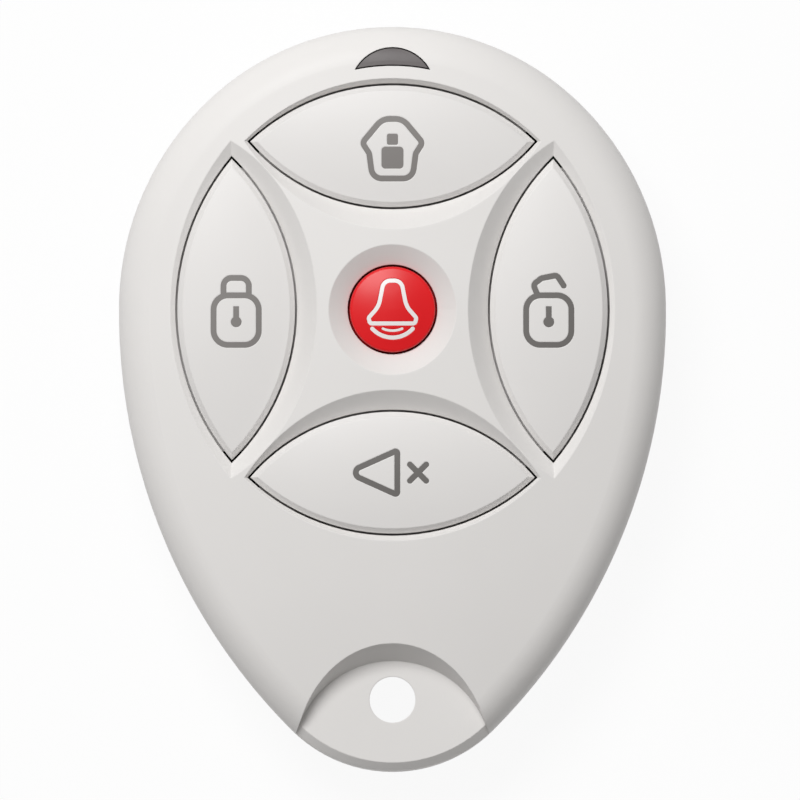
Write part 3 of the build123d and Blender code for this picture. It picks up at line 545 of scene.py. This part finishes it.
def threaded_shank(shape, bottom, top, rings=140, sides=40):
    """A turned shank whose points are drawn in between the turns of the thread."""
    heights = [bottom + (top - bottom) * ring / rings for ring in range(rings + 1)]
    side = [(shank_radius, height) for height in heights]
    before = set(shape.verts)
    turned(shape, [(0, bottom)] + side + [(0, top)], steps=sides)
    for vert in set(shape.verts) - before:
        x, y, z = vert.co
        turns = z / thread_pitch - math.atan2(y, x) / math.tau
        ridge = max(0.0, 1 - abs(turns % 1.0 - 0.5) / ridge_share) * min(1.0, (z - bottom) / start_length)
        radius = core_radius + (shank_radius - core_radius) * ridge
        pointed = tip_share + (1 - tip_share) * min(1.0, (top - z) / tip_length)
        vert.co.x = x * radius * pointed / shank_radius
        vert.co.y = y * radius * pointed / shank_radius


def wedge(length, width, low):
    """A tapered bar that cuts one stroke of the cross into the head."""
    bar = bmesh.new()
    bmesh.ops.create_cube(bar, size=1.0)
    for vert in bar.verts:
        narrow = cross_taper if vert.co.z > 0 else 1.0
        vert.co = Vector((vert.co.x * length * narrow, vert.co.y * width * narrow,
                          low - overrun + (vert.co.z + 0.5) * (cross_depth + overrun)))
    mesh = bpy.data.meshes.new("wedge")
    bar.to_mesh(mesh)
    bar.free()
    cutter = bpy.data.objects.new("wedge", mesh)
    bpy.context.scene.collection.objects.link(cutter)
    return cutter


def screw_head():
    """One rounded head with its cross, as a mesh about the upright line."""
    low, high = screw_low.z, screw_low.z + head_height
    arc = rounded_corner(head_radius, low, head_corner)
    shape = bmesh.new()
    turned(shape, [(0, low)] + arc + [(head_radius, high), (0, high)], steps=64)
    head = finish_mesh(shape, "head")
    cutters = [wedge(cross_length, cross_width, low), wedge(cross_width, cross_length, low)]
    for cutter in cutters:
        cut = head.modifiers.new("cross", "BOOLEAN")
        cut.operation = "DIFFERENCE"
        cut.solver = "EXACT"
        cut.object = cutter
    ready = head.evaluated_get(bpy.context.evaluated_depsgraph_get())
    mesh = bpy.data.meshes.new_from_object(ready)
    for leftover in [head] + cutters:
        bpy.data.objects.remove(leftover)
    return mesh


shape = bmesh.new()
shape.from_mesh(screw_head())
threaded_shank(shape, screw_low.z + head_height - sunk, screw_high.z)
one_screw = bpy.data.meshes.new("one_screw")
shape.to_mesh(one_screw)
shape.free()

shape = bmesh.new()
for x, y in screw_places:
    before = set(shape.verts)
    shape.from_mesh(one_screw)
    bmesh.ops.translate(shape, verts=list(set(shape.verts) - before), vec=(x, y, 0))
screws = finish_mesh(shape, "threaded_screws")
replace_node(screws, "housing_screws")
print("screws at", [(round(x / mm, 2), round(y / mm, 2)) for x, y in screw_places])
print(len(screws.data.polygons), "faces in the three screws")

# %% [markdown]
# ## Solder
# Each switch stands on four legs, and each leg is held by a small shiny mound of solder that climbs
# its end. A mound is a turned shape with a hollow slope, like a bell's skirt.

# %% Solder mounds
board_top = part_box("circuit_board")[1].z
mound_radius, mound_height, mound_foot = 0.52 * mm, 0.26 * mm, 0.01 * mm
mound_power, mound_steps = 1.8, 7
leg_end_inset, leg_side_inset = 0.05 * mm, 0.35 * mm


def solder_mound(shape, middle):
    """A low mound with a hollow slope, standing on the board."""
    shares = [step / mound_steps for step in range(mound_steps + 1)]
    slope = [(mound_radius * share, board_top + mound_height * (1 - share) ** mound_power)
             for share in shares]
    turned(shape, slope + [(0, board_top - mound_foot)], steps=20, middle=middle)


shape = bmesh.new()
for key in keys:
    low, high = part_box(f"switch_{key}_legs")
    for x in (low.x + leg_end_inset, high.x - leg_end_inset):
        for y in (low.y + leg_side_inset, high.y - leg_side_inset):
            solder_mound(shape, (x, y))
finish_and_ride(finish_mesh(shape, "solder_joints"), "tinned_metal", "root")
print("solder mounds:", 4 * len(keys))

# %% [markdown]
# ## Coin cell
# A coin cell is a pressed can whose rim is crimped over a sealing ring, with the smaller cap inside.
# The can and cap are one turned shape with a groove between them, and the dark ring lies in the groove.

# %% The cell and its ring
cell_low, cell_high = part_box("battery_cell")
cell_middle = ((cell_low.x + cell_high.x) / 2, (cell_low.y + cell_high.y) / 2)
cell_radius = (cell_high.x - cell_low.x) / 2
base, top = cell_low.z, cell_high.z
cap_radius, cap_step, cell_corner = cell_radius - 1.3 * mm, 0.3 * mm, 0.3 * mm
groove_radius, groove_floor, shoulder = cell_radius - 0.8 * mm, top - 2 * cap_step, top - cap_step
crimp = [(cell_radius, shoulder - 0.35 * mm), (cell_radius - 0.1 * mm, shoulder - 0.1 * mm),
         (cell_radius - 0.35 * mm, shoulder), (cell_radius - 0.75 * mm, shoulder - 0.05 * mm),
         (groove_radius, groove_floor), (cap_radius, groove_floor)]
cap = [(cap_radius, top - 0.14 * mm), (cap_radius - 0.05 * mm, top - 0.05 * mm),
       (cap_radius - 0.16 * mm, top), (0, top)]
shape = bmesh.new()
corner = rounded_corner(cell_radius, base, cell_corner)
turned(shape, [(0, base)] + corner + crimp + cap, steps=96, middle=cell_middle)
replace_node(finish_mesh(shape, "coin_cell"), "battery_cell")

slack, ring_corner = 0.02 * mm, 0.05 * mm
ring_bottom, ring_top = groove_floor + slack, shoulder - slack
ring_inside, ring_outside = cap_radius + slack, groove_radius - slack
shape = bmesh.new()
ring_profile = [(ring_inside, ring_bottom), (ring_outside, ring_bottom),
                (ring_outside, ring_top - ring_corner), (ring_outside - 0.08 * mm, ring_top),
                (ring_inside + 0.08 * mm, ring_top), (ring_inside, ring_top - ring_corner),
                (ring_inside, ring_bottom)]
turned(shape, ring_profile, steps=96, middle=cell_middle)
finish_and_ride(finish_mesh(shape, "cell_seal"), "black_resin", "root")
print("cell", round(2 * cell_radius / mm, 1), "mm across")

# %% [markdown]
# ## Ends of the small parts
# Chip capacitors and resistors are ceramic blocks whose ends are dipped in tin. Each block's box is
# read from the frame's mesh, and a cap with soft edges goes over each end of its longer side, a
# fiftieth of a millimetre proud.

# %% Tinned ends
tin_sheet, tin_round, tin_share = 0.02 * mm, 0.05 * mm, 0.22


def block_boxes(node):
    """The boxes of the separate blocks in one frame piece."""
    shape = bmesh.new()
    shape.from_mesh(nodes[node].data)
    bmesh.ops.remove_doubles(shape, verts=shape.verts, dist=0.001 * mm)
    waiting = set(shape.verts)
    boxes = []
    while waiting:
        group, next_verts = set(), [next(iter(waiting))]
        while next_verts:
            vert = next_verts.pop()
            if vert in group:
                continue
            group.add(vert)
            next_verts += [edge.other_vert(vert) for edge in vert.link_edges]
        waiting -= group
        boxes.append([(min(vert.co[axis] for vert in group), max(vert.co[axis] for vert in group))
                      for axis in range(3)])
    shape.free()
    return sorted(boxes)


def tinned_ends(node, name):
    """Tin caps on both ends of every block of one frame piece."""
    shape = bmesh.new()
    boxes = block_boxes(node)
    for box in boxes:
        lengths = [high - low for low, high in box[:2]]
        along = 0 if lengths[0] > lengths[1] else 1
        cap_length = tin_share * lengths[along]
        for side in (0, 1):
            spans = [(low - tin_sheet, high + tin_sheet) for low, high in box]
            spans[2] = (box[2][0], box[2][1] + tin_sheet)
            end = spans[along][side]
            spans[along] = (end, end + cap_length) if side == 0 else (end - cap_length, end)
            made = bmesh.ops.create_cube(shape, size=1.0)["verts"]
            for vert in made:
                vert.co = Vector([low if vert.co[axis] < 0 else high
                                  for axis, (low, high) in enumerate(spans)])
            around = list({edge for vert in made for edge in vert.link_edges})
            bmesh.ops.bevel(shape, geom=around, offset=tin_round, affect="EDGES", segments=3, profile=0.5,
                            material=-1)
    finish_and_ride(finish_mesh(shape, name), "tinned_metal", body_of[node])
    print(name, "on", len(boxes), "blocks")


tinned_ends("chip_capacitors", "capacitor_ends")
tinned_ends("chip_resistors", "resistor_ends")

# %% [markdown]
# ## Finishes onto the frame's pieces
# The record says which slot each piece takes, so a loop hands every piece its finish. A frame piece
# keeps its mesh as it came; only its material slot changes.

# %% Hand out the finishes
for name, piece in nodes.items():
    piece.data.materials.clear()
    piece.data.materials.append(materials[slot_of[name]])
print("finishes given to", len(nodes), "pieces")

# %% [markdown]
# ## Floor and background
# The photograph has a plain white ground. The floor under the fob is a large pale disc. To the camera
# it looks white through a Light Path switch, but part of it is still plain matt white, so it keeps
# the fob's faint shadow; it throws no extra light on the fob. It lies a hair under the back, so that
# the two never share a plane. It is clear from below, and to the very short rays that leave the back
# just over it, so that the back can be looked at and gets its light.

# %% The floor
floor_gap, floor_radius, white_share = 0.05 * mm, 40 * case_length, 0.93
clear_within = 5 * floor_gap


def floor_material():
    """Matt white that a straight look brightens to the ground's white, and clear from below."""
    material, tree, shader = new_material("floor_white", Base_Color=(0.86, 0.86, 0.86, 1),
                                          Roughness=0.9, Specular_IOR_Level=0.0)
    path = new_node(tree, "ShaderNodeLightPath").outputs
    seen = maths(tree, "MAXIMUM", path["Is Camera Ray"],
                 maths(tree, "MAXIMUM", path["Is Glossy Ray"], path["Is Transmission Ray"]))
    white = new_node(tree, "ShaderNodeEmission", {"Strength": 1.0})
    share = maths(tree, "MULTIPLY", seen, white_share)
    mix = new_node(tree, "ShaderNodeMixShader", {0: share, 1: shader.outputs[0], 2: white.outputs[0]})
    behind = new_node(tree, "ShaderNodeNewGeometry").outputs["Backfacing"]
    under = maths(tree, "LESS_THAN", path["Ray Length"], clear_within)
    clear = new_node(tree, "ShaderNodeBsdfTransparent")
    either = new_node(tree, "ShaderNodeMixShader", {0: maths(tree, "MAXIMUM", behind, under),
                                                    1: mix.outputs[0], 2: clear.outputs[0]})
    tree.links.new(either.outputs[0], tree.nodes["Material Output"].inputs["Surface"])
    return material


def make_floor():
    """A round floor just under the fob's back."""
    disc = bmesh.new()
    bmesh.ops.create_circle(disc, cap_ends=True, segments=96, radius=floor_radius)
    bmesh.ops.translate(disc, verts=disc.verts, vec=(0, 0, -floor_gap))
    mesh = bpy.data.meshes.new("floor")
    disc.to_mesh(mesh)
    disc.free()
    floor = bpy.data.objects.new("floor", mesh)
    bpy.context.scene.collection.objects.link(floor)
    floor.data.materials.append(floor_material())


make_floor()
print("floor", round(floor_radius, 2), "m in radius")

# %% [markdown]
# ## Light
# The photograph is lit from the top left by one broad soft light, with plenty of light all round: the
# upper edge of each hollow is dark and its lower edge is bright, and the right side is the darker one.
# So one area lamp, 20 cm wide, stands up the page and a little to the left, and the world fills in. A
# lower lamp would deepen the dish, but it bleaches the upper rim. The lamp's place and both levels were
# chosen by comparing tones with the photograph's at about forty places: faces, bevels, dish, scoop and
# rims.

# %% Lamp and world
key_place = (-1.6 * case_length, 3.5 * case_length, 6.5 * case_length)
key_size, key_power, room_strength = 0.20, 1.61, 0.23


def area_lamp(name, place, size, power):
    """A square lamp that looks at the fob's middle."""
    data = bpy.data.lights.new(name, "AREA")
    data.size = size
    data.energy = power
    lamp = bpy.data.objects.new(name, data)
    lamp.location = place
    lamp.rotation_euler = (-Vector(place)).to_track_quat("-Z", "Y").to_euler()
    bpy.context.scene.collection.objects.link(lamp)


area_lamp("key_light", key_place, key_size, key_power)

world = bpy.data.worlds.new("soft_room")
bpy.context.scene.world = world
world.use_nodes = True
tree = world.node_tree
room = tree.nodes["Background"]
room.inputs["Color"].default_value = (1.0, 0.99, 0.98, 1)
room.inputs["Strength"].default_value = room_strength
path = new_node(tree, "ShaderNodeLightPath").outputs
white = new_node(tree, "ShaderNodeBackground", {"Strength": 1.0})
mix = new_node(tree, "ShaderNodeMixShader", {0: path["Is Camera Ray"], 1: room.outputs[0],
                                             2: white.outputs[0]})
tree.links.new(mix.outputs[0], tree.nodes["World Output"].inputs["Surface"])
print("one lamp and a soft room")

# %% [markdown]
# ## Camera
# The photograph looks straight down on the face with no visible perspective, so the camera is
# orthographic. One pixel of the photograph is as many millimetres as the fob's length over its height
# in pixels, which gives the width of the view, and the middle of the photograph gives its place.

# %% The camera
photo_size_px = 800
photo_fob_top_px = 27
photo_fob_bottom_px = 772
photo_middle_x_px = 392.5
camera_height = 5 * case_length
pixel = case_length / (photo_fob_bottom_px - photo_fob_top_px)
camera_data = bpy.data.cameras.new("camera")
camera_data.type = "ORTHO"
camera_data.ortho_scale = photo_size_px * pixel
camera = bpy.data.objects.new("camera", camera_data)
photo_middle_y_px = (photo_fob_top_px + photo_fob_bottom_px) / 2
camera.location = ((photo_size_px / 2 - photo_middle_x_px) * pixel,
                   (photo_middle_y_px - photo_size_px / 2) * pixel, camera_height)
bpy.context.scene.collection.objects.link(camera)
bpy.context.scene.camera = camera
bpy.context.scene.view_settings.view_transform = "Standard"
print("one pixel is", round(pixel / mm, 4), "mm")
